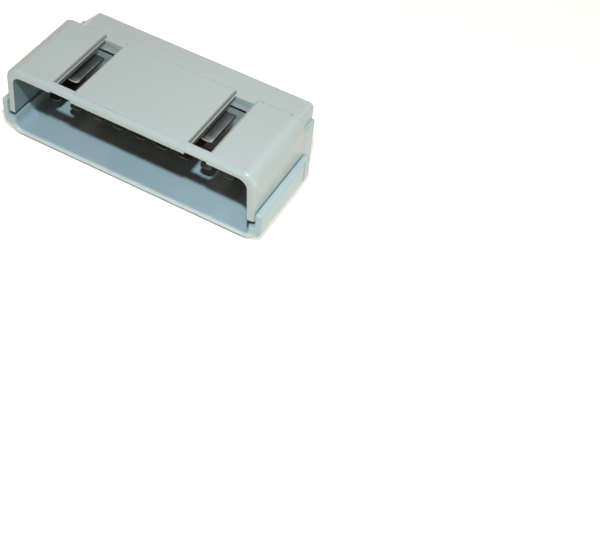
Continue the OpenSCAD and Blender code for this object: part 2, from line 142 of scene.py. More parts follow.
class ShellLook(bpy.types.PropertyGroup):
    """Colours and finish of the moulded plastic."""

    cover_colour: bpy.props.FloatVectorProperty(
        name="Cover colour",
        description="Light grey of the upper cover",
        subtype="COLOR",
        size=3,
        min=0.0,
        max=1.0,
        default=(0.506, 0.548, 0.518),
    )
    base_colour: bpy.props.FloatVectorProperty(
        name="Base colour",
        description="Bluish grey of the tray under the cover",
        subtype="COLOR",
        size=3,
        min=0.0,
        max=1.0,
        default=(0.460, 0.556, 0.572),
    )
    # Painted shade: the block is the shell's grey plastic, given a darker grey for the shade under the
    # cover
    block_shaded_colour: bpy.props.FloatVectorProperty(
        name="Block colour",
        description="Grey of the contact block behind the blades",
        subtype="COLOR",
        size=3,
        min=0.0,
        max=1.0,
        default=(0.280, 0.322, 0.322),
    )
    # This colour marks real specks and the two small marks, and also paints shade in corners, seams and
    # along the latch channels
    dust_and_shade_colour: bpy.props.FloatVectorProperty(
        name="Dust colour",
        description="Fine grime that gathers in corners and seams",
        subtype="COLOR",
        size=3,
        min=0.0,
        max=1.0,
        default=(0.170, 0.160, 0.140),
    )
    # Painted shade: a darker grey for the cover's inner faces, standing for the shade inside it
    inner_shade_colour: bpy.props.FloatVectorProperty(
        name="Inner colour",
        description="Darker grey of the cover's inner faces",
        subtype="COLOR",
        size=3,
        min=0.0,
        max=1.0,
        default=(0.230, 0.300, 0.315),
    )
    # Painted shade: dark brown that stands for the deep shade under the cover's top, in its windows and
    # low on the block
    cavity_shade_colour: bpy.props.FloatVectorProperty(
        name="Cavity colour",
        description="Dark brown film under the cover's top, in its windows and low down on the block",
        subtype="COLOR",
        size=3,
        min=0.0,
        max=1.0,
        default=(0.122, 0.084, 0.066),
    )
    # Painted shade: near black inside the block's slot and along the tray's foot
    deep_shade_colour: bpy.props.FloatVectorProperty(
        name="Slot colour",
        description="Dark of the contact block's slot and of the line at the tray's foot",
        subtype="COLOR",
        size=3,
        min=0.0,
        max=1.0,
        default=(0.020, 0.022, 0.028),
    )
    # Painted shade along the sides of the latch channels
    channel_shade_share: bpy.props.FloatProperty(
        name="Channel shade",
        description="How much dust lies along the sides of the latch channels",
        subtype="FACTOR",
        min=0.0,
        max=1.0,
        default=0.58,
    )
    mark_share: bpy.props.FloatProperty(
        name="Small marks",
        description="How dark the two small marks near the right pad's rear edge are",
        subtype="FACTOR",
        min=0.0,
        max=1.0,
        default=0.45,
    )
    # Share of the painted shade under the cover's top, in its windows and low on the block
    cavity_shade_share: bpy.props.FloatProperty(
        name="Cavity shade",
        description="How much the dark brown film covers",
        subtype="FACTOR",
        min=0.0,
        max=1.0,
        default=0.85,
    )
    # Painted highlight: the paler skin on the tray's front rim stands for light on its rounded edge
    wear_and_highlight_colour: bpy.props.FloatVectorProperty(
        name="Rim highlight colour",
        description="Paler skin where the tray's front rim is rubbed",
        subtype="COLOR",
        size=3,
        min=0.0,
        max=1.0,
        default=(0.86, 0.84, 0.76),
    )
    # Share of the painted highlight on the tray's front rim
    rim_highlight_share: bpy.props.FloatProperty(
        name="Rim highlight",
        description="How much of the tray's front rim is rubbed",
        subtype="FACTOR",
        min=0.0,
        max=1.0,
        default=0.60,
    )
    # Share of the painted shade: a dark line at the tray's foot
    foot_shade_share: bpy.props.FloatProperty(
        name="Foot shade",
        description="How much the dark line at the tray's foot covers",
        subtype="FACTOR",
        min=0.0,
        max=1.0,
        default=0.75,
    )
    roughness: bpy.props.FloatProperty(
        name="Roughness",
        description="Roughness of the satin moulded skin",
        subtype="FACTOR",
        min=0.0,
        max=1.0,
        default=0.27,
    )
    grain_depth: bpy.props.FloatProperty(
        name="Grain depth",
        description="Depth of the fine mould grain",
        subtype="DISTANCE",
        unit="LENGTH",
        min=0.0,
        default=0.010 * MM,
    )
    edge_radius: bpy.props.FloatProperty(
        name="Edge radius",
        description="Radius to which small moulded edges are eased",
        subtype="DISTANCE",
        unit="LENGTH",
        min=0.0,
        default=0.14 * MM,
    )
    tray_radius: bpy.props.FloatProperty(
        name="Tray edge radius",
        description="Radius to which the tray's softer edges are eased",
        subtype="DISTANCE",
        unit="LENGTH",
        min=0.0,
        default=0.62 * MM,
    )


class ContactLook(bpy.types.PropertyGroup):
    """Sizes and colours of the metal parts."""

    blade_width: bpy.props.FloatProperty(
        name="Blade width",
        description="Width of a blade between its edges",
        subtype="DISTANCE",
        unit="LENGTH",
        default=2.8 * MM,
    )
    tip_radius: bpy.props.FloatProperty(
        name="Tip radius",
        description="Radius of a blade tip's corners, seen from above",
        subtype="DISTANCE",
        unit="LENGTH",
        default=0.80 * MM,
    )
    tip_bevel: bpy.props.FloatProperty(
        name="Tip bevel",
        description="Length over which a blade thins towards its tip",
        subtype="DISTANCE",
        unit="LENGTH",
        default=1.1 * MM,
    )
    tip_share: bpy.props.FloatProperty(
        name="Tip thickness",
        description="Share of a blade's thickness that is left at its tip",
        subtype="FACTOR",
        min=0.1,
        max=1.0,
        default=0.42,
    )
    edge_radius: bpy.props.FloatProperty(
        name="Blade edge radius",
        description="Radius of the eased long edges",
        subtype="DISTANCE",
        unit="LENGTH",
        default=0.13 * MM,
    )
    stop_length: bpy.props.FloatProperty(
        name="Stop length",
        description="Length of the stop shoulders inside the block",
        subtype="DISTANCE",
        unit="LENGTH",
        default=0.8 * MM,
    )
    tail_length: bpy.props.FloatProperty(
        name="Tail length",
        description="Length of a blade behind the block, through its splice bar",
        subtype="DISTANCE",
        unit="LENGTH",
        default=1.2 * MM,
    )
    # Painted shade: the lower row's tin darkened for the shade it sits in
    lower_row_shade_colour: bpy.props.FloatVectorProperty(
        name="Lower row shade colour",
        description="Dull brown grey of the lower row's plating",
        subtype="COLOR",
        size=3,
        min=0.0,
        max=1.0,
        default=(0.080, 0.070, 0.060),
    )
    tin_colour: bpy.props.FloatVectorProperty(
        name="Tin colour",
        description="Grey of the tin plating",
        subtype="COLOR",
        size=3,
        min=0.0,
        max=1.0,
        default=(0.235, 0.262, 0.258),
    )
    # Partly painted highlight: the pale tips and edges of the upper row are partly wear and partly light
    # caught on their bevels
    tip_colour: bpy.props.FloatVectorProperty(
        name="Tip colour",
        description="Pale metal at the rubbed tips and edges of the upper row",
        subtype="COLOR",
        size=3,
        min=0.0,
        max=1.0,
        default=(0.450, 0.410, 0.315),
    )
    brass_colour: bpy.props.FloatVectorProperty(
        name="Brass colour",
        description="Bare brass of the splice bars",
        subtype="COLOR",
        size=3,
        min=0.0,
        max=1.0,
        default=(0.720, 0.520, 0.220),
    )


class StageLook(bpy.types.PropertyGroup):
    """Floor, lamps and camera."""

    camera_place: bpy.props.FloatVectorProperty(
        name="Camera place",
        description="Where the camera stands",
        subtype="TRANSLATION",
        unit="LENGTH",
        size=3,
        default=(0.09234, -0.14240, 0.16241),
    )
    camera_right: bpy.props.FloatVectorProperty(
        name="Camera right",
        description="Direction of the picture's right side",
        subtype="DIRECTION",
        size=3,
        default=(0.87722286, 0.47228341, 0.08618838),
    )
    camera_up: bpy.props.FloatVectorProperty(
        name="Camera up",
        description="Direction of the picture's upper side",
        subtype="DIRECTION",
        size=3,
        default=(-0.41110947, 0.64627330, 0.64289954),
    )
    camera_lens: bpy.props.FloatProperty(
        name="Lens",
        description="Focal length on a 36 mm wide sensor, in millimetres",
        default=68.76,
    )
    key_place: bpy.props.FloatVectorProperty(
        name="Key lamp place",
        description="Where the key lamp stands",
        subtype="TRANSLATION",
        unit="LENGTH",
        size=3,
        default=(0.060, -0.0890, 0.1806),
    )
    key_radius: bpy.props.FloatProperty(
        name="Key lamp radius",
        description="Radius of the key lamp, which sets how soft its shadows are",
        subtype="DISTANCE",
        unit="LENGTH",
        default=5.6 * MM,
    )
    key_power: bpy.props.FloatProperty(
        name="Key lamp power",
        description="Power of the key lamp",
        subtype="POWER",
        unit="POWER",
        default=1.37,
    )
    key_colour: bpy.props.FloatVectorProperty(
        name="Key lamp colour",
        description="Cool white of the key lamp",
        subtype="COLOR",
        size=3,
        min=0.0,
        max=1.0,
        default=(0.70, 0.885, 1.0),
    )
    overhead_place: bpy.props.FloatVectorProperty(
        name="Overhead lamp place",
        description="Where the wide overhead lamp hangs",
        subtype="TRANSLATION",
        unit="LENGTH",
        size=3,
        default=(0.02, 0.22, 0.46),
    )
    overhead_size: bpy.props.FloatProperty(
        name="Overhead lamp size",
        description="Side of the wide overhead lamp",
        subtype="DISTANCE",
        unit="LENGTH",
        default=0.60,
    )
    overhead_power: bpy.props.FloatProperty(
        name="Overhead lamp power",
        description="Power of the wide overhead lamp",
        subtype="POWER",
        unit="POWER",
        default=1.02,
    )
    overhead_colour: bpy.props.FloatVectorProperty(
        name="Overhead lamp colour",
        description="Warm white of the wide overhead lamp",
        subtype="COLOR",
        size=3,
        min=0.0,
        max=1.0,
        default=(1.0, 0.80, 0.60),
    )
    side_place: bpy.props.FloatVectorProperty(
        name="Side lamp place",
        description="Where the low side lamp stands, to the right of the object and behind its mouth",
        subtype="TRANSLATION",
        unit="LENGTH",
        size=3,
        default=(0.36, 0.04, 0.012),
    )
    side_size: bpy.props.FloatProperty(
        name="Side lamp size",
        description="Side of the square side lamp",
        subtype="DISTANCE",
        unit="LENGTH",
        default=0.04,
    )
    side_power: bpy.props.FloatProperty(
        name="Side lamp power",
        description="Power of the side lamp",
        subtype="POWER",
        unit="POWER",
        default=0.395,
    )
    side_colour: bpy.props.FloatVectorProperty(
        name="Side lamp colour",
        description="Slightly cool white of the side lamp",
        subtype="COLOR",
        size=3,
        min=0.0,
        max=1.0,
        default=(0.94, 1.0, 0.99),
    )
    front_place: bpy.props.FloatVectorProperty(
        name="Front lamp place",
        description="Where the low front lamp stands, hardly above the floor",
        subtype="TRANSLATION",
        unit="LENGTH",
        size=3,
        default=(-0.06, -0.36, 0.016),
    )
    front_size: bpy.props.FloatProperty(
        name="Front lamp size",
        description="Side of the square front lamp",
        subtype="DISTANCE",
        unit="LENGTH",
        default=0.03,
    )
    front_power: bpy.props.FloatProperty(
        name="Front lamp power",
        description="Power of the front lamp",
        subtype="POWER",
        unit="POWER",
        default=0.24,
    )
    front_colour: bpy.props.FloatVectorProperty(
        name="Front lamp colour",
        description="Slightly warm white of the front lamp",
        subtype="COLOR",
        size=3,
        min=0.0,
        max=1.0,
        default=(1.0, 0.98, 0.95),
    )
    fill_strength: bpy.props.FloatProperty(
        name="Fill",
        description="Strength of the even light from all around",
        min=0.0,
        default=0.062,
    )
    fill_colour: bpy.props.FloatVectorProperty(
        name="Fill colour",
        description="Warm white of the even light from all around",
        subtype="COLOR",
        size=3,
        min=0.0,
        max=1.0,
        default=(1.0, 0.62, 0.57),
    )
    floor_colour: bpy.props.FloatVectorProperty(
        name="Floor colour",
        description="Pale colour of the floor",
        subtype="COLOR",
        size=3,
        min=0.0,
        max=1.0,
        default=(0.86, 0.79, 0.64),
    )
    floor_glow: bpy.props.FloatProperty(
        name="Floor glow",
        description="White that the floor shows besides the light it reflects",
        min=0.0,
        max=1.0,
        default=0.58,
    )
    floor_size: bpy.props.FloatProperty(
        name="Floor size",
        description="Half the side of the floor",
        subtype="DISTANCE",
        unit="LENGTH",
        default=3.0,
    )


class NodeBoard:
    """A node tree with short calls for placing and joining its nodes."""

    def __init__(self, tree):
        self.tree = tree

    def join(self, source, target):
        """Joins an output to an input."""
        self.tree.links.new(source, target)

    def add(self, kind, inputs=None, **settings):
        """Places a node, sets its settings, and sets or joins its inputs."""
        node = self.tree.nodes.new(kind)
        for name, value in settings.items():
            setattr(node, name, value)
        for key, value in (inputs or {}).items():
            if isinstance(value, bpy.types.NodeSocket):
                self.join(value, node.inputs[key])
            else:
                node.inputs[key].default_value = value
        return node

    def math(self, operation, first, second=0.0, clamp=False):
        """Result of a calculation with two numbers."""
        node = self.add("ShaderNodeMath", {0: first, 1: second}, operation=operation, use_clamp=clamp)
        return node.outputs["Value"]

    def product(self, first, second, clamp=False):
        """Two numbers multiplied."""
        return self.math("MULTIPLY", first, second, clamp)

    def rest(self, value):
        """What a number leaves of 1."""
        return self.math("SUBTRACT", 1.0, value)

    def ramp(self, value, low, high):
        """A number that rises smoothly from 0 at low to 1 at high."""
        node = self.add(
            "ShaderNodeMapRange",
            {"Value": value, "From Min": low, "From Max": high},
            interpolation_type="SMOOTHSTEP",
        )
        return node.outputs["Result"]

    def mix(self, share, first, second):
        """A colour between two others, by the indices of the node's colour sockets."""
        return self.add("ShaderNodeMix", {0: share, 6: first, 7: second}, data_type="RGBA").outputs[2]

    def coat(self, under, mask, share, colour):
        """A colour laid over another on a share of a masked place."""
        return self.mix(self.product(mask, share), under, colour)

    def object_coordinates(self):
        """Place on the piece, in metres."""
        return self.add("ShaderNodeTexCoord").outputs["Object"]

    def parts(self, vector):
        """The X, Y and Z of a vector."""
        return self.add("ShaderNodeSeparateXYZ", {"Vector": vector}).outputs

    def place(self):
        """The X, Y and Z of a place on the piece, in metres."""
        return self.parts(self.object_coordinates())

    def facing(self):
        """The X, Y and Z of the direction in which a face is turned."""
        return self.parts(self.add("ShaderNodeNewGeometry").outputs["True Normal"])

    def noise(self, place, scale, detail, roughness):
        """Even noise from 0 to 1 at so many waves to the metre."""
        node = self.add(
            "ShaderNodeTexNoise",
            {"Vector": place, "Scale": scale, "Detail": detail, "Roughness": roughness},
        )
        return node.outputs["Fac"]

    def seen(self):
        """1 for rays that show in the picture, straight, mirrored or through something, otherwise 0."""
        path = self.add("ShaderNodeLightPath").outputs
        seen = self.math("MAXIMUM", path["Is Camera Ray"], path["Is Glossy Ray"])
        return self.math("MAXIMUM", seen, path["Is Transmission Ray"])


def new_group(name, inputs, outputs):
    """An empty shader node group with the named number sockets, and its input and output nodes."""
    tree = bpy.data.node_groups.new(name, "ShaderNodeTree")
    for label, default in inputs:
        socket = tree.interface.new_socket(label, in_out="INPUT", socket_type="NodeSocketFloat")
        socket.default_value = default
    for label, kind in outputs:
        tree.interface.new_socket(label, in_out="OUTPUT", socket_type=kind)
    board = NodeBoard(tree)
    entry = board.add("NodeGroupInput")
    leave = board.add("NodeGroupOutput")
    return board, entry.outputs, leave.inputs


def mould_grain_group():
    """Fine skin of a moulded part: a shallow grain, a slow drift of tone, and sparse dark specks."""
    board, given, out = new_group(
        "Mould grain",
        [
            ("Grain scale", 5200.0),
            ("Drift scale", 55.0),
            ("Speck scale", 420.0),
            ("Speck size", 0.055),
            ("Speck chance", 0.94),
        ],
        [("Height", "NodeSocketFloat"), ("Drift", "NodeSocketFloat"), ("Specks", "NodeSocketFloat")],
    )
    place = board.object_coordinates()
    cells = board.add("ShaderNodeTexVoronoi", {"Vector": place, "Scale": given["Speck scale"]})
    chance = board.add("ShaderNodeSeparateColor", {"Color": cells.outputs["Color"]}).outputs["Red"]
    small = board.math("LESS_THAN", cells.outputs["Distance"], given["Speck size"])
    rare = board.math("GREATER_THAN", chance, given["Speck chance"])
    board.join(board.noise(place, given["Grain scale"], 3.0, 0.6), out["Height"])
    board.join(board.noise(place, given["Drift scale"], 3.0, 0.55), out["Drift"])
    board.join(board.product(small, rare), out["Specks"])
    return board.tree


def eased_edge_group():
    """Edges eased to a radius: the rounded normal, and a mask that is 1 along those edges."""
    board, given, out = new_group(
        "Eased edge",
        [("Radius", 0.14 * MM), ("Breakup scale", 900.0)],
        [("Normal", "NodeSocketVector"), ("Edge", "NodeSocketFloat")],
    )
    rounded = board.add("ShaderNodeBevel", {"Radius": given["Radius"]}, samples=6).outputs["Normal"]
    normal = board.add("ShaderNodeNewGeometry").outputs["Normal"]
    along = board.add("ShaderNodeVectorMath", {0: rounded, 1: normal}, operation="DOT_PRODUCT")
    bend = board.ramp(board.rest(along.outputs["Value"]), 0.01, 0.20)
    patchy = board.noise(board.object_coordinates(), given["Breakup scale"], 2.0, 0.6)
    board.join(rounded, out["Normal"])
    board.join(board.product(bend, board.ramp(patchy, 0.30, 0.62)), out["Edge"])
    return board.tree


def corner_dust_and_shade_group():
    """Fine dirt and painted shade in corners and seams: how closed in a place is, broken up by noise."""
    board, given, out = new_group(
        "Corner dust",
        [("Reach", 0.9 * MM), ("Breakup scale", 700.0)],
        [("Dust and shade", "NodeSocketFloat")],
    )
    shut = board.add("ShaderNodeAmbientOcclusion", {"Distance": given["Reach"]}, samples=6)
    depth = board.ramp(board.rest(shut.outputs["AO"]), 0.30, 0.95)
    patchy = board.noise(board.object_coordinates(), given["Breakup scale"], 3.0, 0.6)
    board.join(board.product(depth, patchy), out["Dust and shade"])
    return board.tree


def low_shade_group():
    """Painted shade low down, broken up by noise.

    It is a smooth step from none at the upper height to all at the lower one.
    """
    board, given, out = new_group(
        "Low shade",
        [("Upper", BLOCK_SHADE_HEIGHTS[0]), ("Lower", BLOCK_SHADE_HEIGHTS[1]), ("Breakup scale", 160.0)],
        [("Painted shade", "NodeSocketFloat")],
    )
    depth = board.rest(board.ramp(board.place()["Z"], given["Lower"], given["Upper"]))
    patchy = board.noise(board.object_coordinates(), given["Breakup scale"], 2.0, 0.5)
    uneven = board.math("ADD", 0.75, board.product(patchy, 0.5))
    board.join(board.product(depth, uneven, clamp=True), out["Painted shade"])
    return board.tree


def rim_highlight_group():
    """Painted highlight along the mouth's lower rim.

    It is the product of a smooth step from all at the front to none at the back, another from all at
    the low height to none at the high one, and noise that breaks it up.
    """
    board, given, out = new_group(
        "Rim highlight",
        [
            ("Front", RIM_DEPTH[0]),
            ("Back", RIM_DEPTH[1]),
            ("Low", RIM_HEIGHT[0]),
            ("High", RIM_HEIGHT[1]),
            ("Breakup scale", 420.0),
        ],
        [("Highlight", "NodeSocketFloat")],
    )
    place = board.place()
    near = board.rest(board.ramp(place["Y"], given["Front"], given["Back"]))
    under = board.rest(board.ramp(place["Z"], given["Low"], given["High"]))
    patchy = board.noise(board.object_coordinates(), given["Breakup scale"], 2.0, 0.5)
    uneven = board.math("ADD", 0.70, board.product(patchy, 0.6))
    board.join(board.product(board.product(near, under), uneven, clamp=True), out["Highlight"])
    return board.tree


def slot_group():
    """The inside of a slot across a front face: behind the face, and between two heights."""
    board, given, out = new_group(
        "Slot",
        [("Front", 0.0), ("Low", 0.0), ("High", 1.0)],
        [("Inside", "NodeSocketFloat")],
    )
    place = board.place()
    behind = board.math("GREATER_THAN", place["Y"], given["Front"])
    over = board.math("GREATER_THAN", place["Z"], given["Low"])
    under = board.math("LESS_THAN", place["Z"], given["High"])
    board.join(board.product(behind, board.product(over, under)), out["Inside"])
    return board.tree


def channel_shade_group():
    """Painted shade along the sides of two channels, one to the left and one to the right of the middle
    plane.

    It is fullest where a side meets the channel's ledge and runs out over the ledge and over the pad's
    edge. The walls are the upright sides of the windows inside the ledges.
    """
    board, given, out = new_group(
        "Channel shade",
        [
            ("Centre", CHANNEL_CENTRE),
            ("Half", CHANNEL_HALF),
            ("Ledge", CHANNEL_LEDGE),
            ("Edge", CHANNEL_EDGE),
            ("Above", CHANNEL_FLOOR),
            ("Front", CHANNEL_FRONT),
            ("Back", CHANNEL_BACK),
        ],
        [("Painted shade", "NodeSocketFloat"), ("Walls", "NodeSocketFloat")],
    )
    place = board.place()
    aside = board.math("SUBTRACT", board.math("ABSOLUTE", place["X"]), given["Centre"])
    away = board.math("SUBTRACT", board.math("ABSOLUTE", aside), given["Half"])
    upright = board.math("GREATER_THAN", board.math("ABSOLUTE", board.facing()["X"]), 0.9)
    within = board.math("LESS_THAN", away, board.product(given["Ledge"], -0.9))
    outer = board.product(given["Ledge"], -1.0)
    ledge = board.ramp(away, outer, board.product(outer, 0.5))
    edge = board.rest(board.ramp(away, 0.0, given["Edge"]))
    over = board.math("GREATER_THAN", place["Z"], given["Above"])
    behind = board.math("GREATER_THAN", place["Y"], given["Front"])
    before = board.math("LESS_THAN", place["Y"], given["Back"])
    between = board.product(behind, before)
    film = board.product(board.product(ledge, edge), board.product(over, between))
    board.join(film, out["Painted shade"])
    board.join(board.product(board.product(upright, within), between), out["Walls"])
    return board.tree


def small_marks_group():
    """Small marks on the top: 1 within the radius of each, falling smoothly to 0 at twice the radius."""
    board, given, out = new_group(
        "Small marks",
        [("Above", CHANNEL_FLOOR)],
        [("Marks", "NodeSocketFloat")],
    )
    place = board.place()
    flat = board.add("ShaderNodeCombineXYZ", {"X": place["X"], "Y": place["Y"]}).outputs["Vector"]
    marks = 0.0
    for x, y, radius in MARKS:
        away = board.add("ShaderNodeVectorMath", {0: flat, 1: (x, y, 0.0)}, operation="DISTANCE")
        mark = board.rest(board.ramp(away.outputs["Value"], radius, 2.0 * radius))
        marks = board.math("MAXIMUM", mark, marks)
    over = board.math("GREATER_THAN", place["Z"], given["Above"])
    board.join(board.product(marks, over), out["Marks"])
    return board.tree


def inner_face_group():
    """Faces below a height that are turned inwards.

    The walls are turned towards the middle plane, and the ceiling is turned down.
    """
    board, given, out = new_group(
        "Inner face",
        [("Below", INNER_BELOW)],
        [("Walls", "NodeSocketFloat"), ("Ceiling", "NodeSocketFloat")],
    )
    place = board.place()
    turned = board.facing()
    outwards = board.product(turned["X"], board.math("SIGN", place["X"]))
    inwards = board.ramp(board.product(outwards, -1.0), 0.3, 0.8)
    down = board.ramp(board.product(turned["Z"], -1.0), 0.3, 0.8)
    low = board.math("LESS_THAN", place["Z"], given["Below"])
    board.join(board.product(inwards, low), out["Walls"])
    board.join(board.product(down, low), out["Ceiling"])
    return board.tree


def shared_group(maker, name):
    """A shared effect, made the first time it is asked for."""
    return bpy.data.node_groups.get(name) or maker()


def effect(board, group, **values):
    """Places a shared effect in a material with its own values."""
    node = board.add("ShaderNodeGroup", node_tree=group)
    for name, value in values.items():
        node.inputs[name.replace("_", " ").capitalize()].default_value = value
    return node.outputs


def cleared_board(owner):
    """The node board of a material or a world, with nothing on it."""
    owner.use_nodes = True
    owner.node_tree.nodes.clear()
    return NodeBoard(owner.node_tree)


def new_material(name):
    """A material with a node board, its shader, and nothing else."""
    material = bpy.data.materials.new(name)
    board = cleared_board(material)
    shader = board.add("ShaderNodeBsdfPrincipled")
    board.add("ShaderNodeOutputMaterial", {"Surface": shader.outputs["BSDF"]})
    return material, board, shader


def opaque(colour, level=1.0):
    """A colour with its alpha, lightened or darkened."""
    return tuple(min(1.0, part * level) for part in colour) + (1.0,)


def cover_shade_and_marks(board, skin, look):
    """Painted shade and two small marks on the cover.

    Its inner walls get a darker grey and its ceiling and window sides are brown, all painted shade;
    painted shade also lies along its channels, and there are two small dark marks.
    """
    inner = effect(board, shared_group(inner_face_group, "Inner face"))
    sides = effect(board, shared_group(channel_shade_group, "Channel shade"))
    marks = effect(board, shared_group(small_marks_group, "Small marks"))
    brown, dust_and_shade = opaque(look.cavity_shade_colour), opaque(look.dust_and_shade_colour)
    # Painted shade: the inner walls get a darker grey and the ceiling dark brown
    finish = board.mix(inner["Walls"], skin, opaque(look.inner_shade_colour))
    finish = board.coat(finish, inner["Ceiling"], look.cavity_shade_share, brown)
    # Painted shade along the channel sides; the two small marks are real marks
    finish = board.coat(finish, sides["Painted shade"], look.channel_shade_share, dust_and_shade)
    finish = board.coat(finish, marks["Marks"], look.mark_share, dust_and_shade)
    # Painted shade: the window walls are dark brown
    return board.coat(finish, sides["Walls"], look.cavity_shade_share, brown)


def tray_highlight_and_shade(board, skin, look):
    """Painted highlight on the tray's front rim, and a dark line of painted shade at its foot."""
    upper, lower = FOOT_SHADE_HEIGHTS
    rim = effect(board, shared_group(rim_highlight_group, "Rim highlight"))
    foot = effect(board, shared_group(low_shade_group, "Low shade"), upper=upper, lower=lower)
    # Painted highlight on the front rim
    finish = board.coat(skin, rim["Highlight"], look.rim_highlight_share, opaque(look.wear_and_highlight_colour))
    # Painted shade: a dark line at the tray's foot
    return board.coat(finish, foot["Painted shade"], look.foot_shade_share, opaque(look.deep_shade_colour))


def block_painted_shade(board, skin, look):
    """Painted shade on the block: brown low down, and near black inside its slot."""
    (_, front, _), (_, _, top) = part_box("contact_block")
    upper, lower = BLOCK_SHADE_HEIGHTS
    low = effect(board, shared_group(low_shade_group, "Low shade"), upper=upper, lower=lower)
    slot = effect(
        board,
        shared_group(slot_group, "Slot"),
        front=front + HAIR,
        low=top - SLOT_DROP - SLOT_HEIGHT - HAIR,
        high=top - SLOT_DROP + HAIR,
    )
    # Painted shade: brown low down on the block
    finish = board.coat(skin, low["Painted shade"], look.cavity_shade_share, opaque(look.cavity_shade_colour))
    # Painted shade: near black inside the slot
    return board.mix(slot["Inside"], finish, opaque(look.deep_shade_colour))


def moulded_plastic(name, colour, look, overlays, grain_scale, edge_radius, rub_and_highlight=0.30, grime_and_shade=1.0):
    """Satin moulded plastic: grain, a slow drift of tone, paler edges that are partly edge wear and
    partly painted highlight, corners darkened by dirt and painted shade, and the overlays.
    """
    material, board, shader = new_material(name)
    grain = effect(board, shared_group(mould_grain_group, "Mould grain"), grain_scale=grain_scale)
    edge = effect(board, shared_group(eased_edge_group, "Eased edge"), radius=edge_radius)
    dust_and_shade = effect(board, shared_group(corner_dust_and_shade_group, "Corner dust"))
    darker, paler = (opaque(colour, level) for level in DRIFT_LEVELS)
    skin = board.mix(board.ramp(grain["Drift"], *DRIFT_RANGE), darker, paler)
    raised = board.ramp(grain["Height"], *MOTTLE_RANGE)
    skin = board.coat(skin, raised, MOTTLE_SHARE, opaque(colour, MOTTLE_LEVEL))
    skin = board.coat(skin, grain["Specks"], SPECK_SHARE, opaque(look.dust_and_shade_colour))
    # Paler edges: partly edge wear, partly a painted highlight
    skin = board.coat(skin, edge["Edge"], rub_and_highlight, opaque(colour, 1.0 + RUB_AND_HIGHLIGHT_GAIN * rub_and_highlight))
    # Corners and seams darkened where they are closed in: partly dirt, partly painted shade
    corner_darkening = board.product(dust_and_shade["Dust and shade"], DUST_AND_SHADE_SHARE * grime_and_shade, clamp=True)
    skin = board.mix(corner_darkening, skin, opaque(look.dust_and_shade_colour, 1.0 / grime_and_shade))
    drift = board.product(grain["Drift"], GLOSS_DRIFT)
    gloss = board.math("ADD", look.roughness - GLOSS_DRIFT / 2, drift)
    polished = board.math("SUBTRACT", gloss, board.product(edge["Edge"], EDGE_POLISH))
    bump = board.add(
        "ShaderNodeBump",
        {
            "Height": grain["Height"],
            "Normal": edge["Normal"],
            "Strength": 1.0,
            "Distance": look.grain_depth,
        },
    )
    board.join(overlays(board, skin, look), shader.inputs["Base Color"])
    board.join(polished, shader.inputs["Roughness"])
    board.join(bump.outputs["Normal"], shader.inputs["Normal"])
    return material


# The wear share also sets the painted highlight on the edges and tip
def drawn_metal(name, colour, wear_and_highlight_colour, roughness, wear):
    """Drawn strip: fine lines along Y, tarnish in slow patches, paler edges and tip that are partly wear
    and partly painted highlight.
    """
    material, board, shader = new_material(name)
    edge = effect(
        board,
        shared_group(eased_edge_group, "Eased edge"),
        radius=METAL_EDGE,
        breakup_scale=METAL_BREAKUP,
    )
    place = board.object_coordinates()
    stretched = board.add("ShaderNodeMapping", {"Vector": place, "Scale": LINE_SCALES})
    lines = board.noise(stretched.outputs["Vector"], 1.0, 3.0, 0.65)
    patches = board.noise(place, PATCH_SCALE, 3.0, 0.6)
    darker, paler = (opaque(colour, level) for level in PATCH_LEVELS)
    clouded = board.mix(board.ramp(patches, *PATCH_RANGE), darker, paler)
    lined = board.coat(clouded, lines, LINE_SHARE, opaque(colour, LINE_LEVEL))
    tip = board.add("ShaderNodeAttribute", attribute_name=TIP_LAYER).outputs["Fac"]
    tip_rubbed_and_lit = board.product(tip, board.ramp(patches, *TIP_RANGE))
    # Paler edges and tip: partly wear, partly a painted highlight
    rubbed_and_lit = board.math("MAXIMUM", edge["Edge"], tip_rubbed_and_lit)
    worn_and_lit = board.coat(lined, rubbed_and_lit, wear, opaque(wear_and_highlight_colour))
    gloss = board.math("ADD", roughness - LINE_GLOSS / 2, board.product(lines, LINE_GLOSS))
    bump = board.add(
        "ShaderNodeBump",
        {"Height": lines, "Normal": edge["Normal"], "Strength": LINE_STRENGTH, "Distance": LINE_DEPTH},
    )
    board.join(worn_and_lit, shader.inputs["Base Color"])
    board.join(gloss, shader.inputs["Roughness"])
    board.join(bump.outputs["Normal"], shader.inputs["Normal"])
    shader.inputs["Metallic"].default_value = 1.0
    return material


def clothe(node, material):
    """Gives a CAD node its finish, in every material slot."""
    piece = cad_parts[node]
    if not piece.material_slots:
        piece.data.materials.append(material)
    for slot in piece.material_slots:
        slot.material = material


def eased_section(half_width, half_height, radius):
    """Rounded rectangle across each station: a quarter circle of the radius at each corner.

    A point is the corner's centre, half size less radius, plus the radius turned through the angle.
    The three sizes are arrays over the stations. Returns x and z as stations by points.
    """
    quarter = np.linspace(0.0, np.pi / 2, CORNER_STEPS)
    angle = (np.arange(4)[:, None] * np.pi / 2 + quarter[None, :]).ravel()
    side_x = np.repeat([1.0, -1.0, -1.0, 1.0], CORNER_STEPS)
    side_z = np.repeat([1.0, 1.0, -1.0, -1.0], CORNER_STEPS)
    x = side_x * (half_width - radius)[:, None] + radius[:, None] * np.cos(angle)
    z = side_z * (half_height - radius)[:, None] + radius[:, None] * np.sin(angle)
    return x, z


